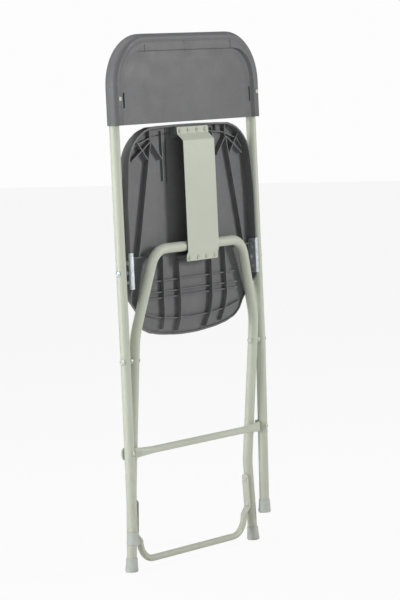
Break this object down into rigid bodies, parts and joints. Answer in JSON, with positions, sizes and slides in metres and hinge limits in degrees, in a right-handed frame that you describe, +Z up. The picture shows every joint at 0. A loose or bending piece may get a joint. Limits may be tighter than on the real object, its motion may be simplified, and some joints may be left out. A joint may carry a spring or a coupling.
{
  "type": "folding chair",
  "caption": "Folding chair, folded flat: steel tube frame with plastic seat and backrest; rear legs and seat swing on riveted pivots.",
  "frame": {"origin": "on the floor under the middle of the folded chair's bounding box, the rear feet standing on the floor", "axes": "+X to the right of a person facing the chair's front, +Y towards the chair's rear, +Z up along the back frame's straight legs"},
  "size_m": [0.454, 0.069, 1],
  "materials": {
    "paint": "satin sage grey paint",
    "plastic": "fine grained dark grey polypropylene",
    "cap": "soft grey plastic",
    "zinc": "galvanised"
  },
  "bodies": {
    "back_frame": {"back_frame_tube": "paint", "cross_stretcher": "paint", "backrest_rivet_left": "paint", "backrest_rivet_right": "paint", "stretcher_rivet_left": "paint", "stretcher_rivet_right": "paint", "backrest_shell": "plastic", "front_foot_cap_left": "cap", "front_foot_cap_right": "cap", "leg_pivot_rivet_left": "zinc", "leg_pivot_rivet_right": "zinc", "leg_pivot_spacer_left": "zinc", "leg_pivot_spacer_right": "zinc", "seat_pivot_rivet_left": "zinc", "seat_pivot_rivet_right": "zinc", "seat_pivot_washer_left": "zinc", "seat_pivot_washer_right": "zinc"},
    "rear_legs": {"rear_leg_tube": "paint", "rear_stretcher_loop": "paint", "rear_foot_cap_left": "cap", "rear_foot_cap_right": "cap", "loop_rivet_left_upper": "paint", "loop_rivet_left_lower": "paint", "loop_rivet_right_upper": "paint", "loop_rivet_right_lower": "paint"},
    "seat": {"seat_shell": "plastic", "slide_channel": "paint", "seat_bracket_left": "zinc", "seat_bracket_right": "zinc", "bracket_rivet_left_upper": "zinc", "bracket_rivet_left_lower": "zinc", "bracket_rivet_right_upper": "zinc", "bracket_rivet_right_lower": "zinc", "channel_screw_1": "paint", "channel_screw_2": "paint", "channel_screw_3": "paint", "channel_screw_4": "paint", "channel_screw_5": "paint", "channel_screw_6": "paint", "channel_screw_7": "paint", "channel_screw_8": "paint"}
  },
  "joints": [
    {"name": "rear_leg_hinge", "type": "hinge", "parent": "back_frame", "child": "rear_legs", "pos_m": [0, -0.00295, 0.397], "axis": [-1, 0, 0], "range_deg": [-70, 0]},
    {"name": "seat_hinge", "type": "hinge", "parent": "back_frame", "child": "seat", "pos_m": [0, -0.00295, 0.561], "axis": [-1, 0, 0], "range_deg": [-115, 0]}
  ],
  "couplings": [
    {"joint": "seat_hinge", "follows": "rear_leg_hinge", "ratio": 1.6425}
  ]
}
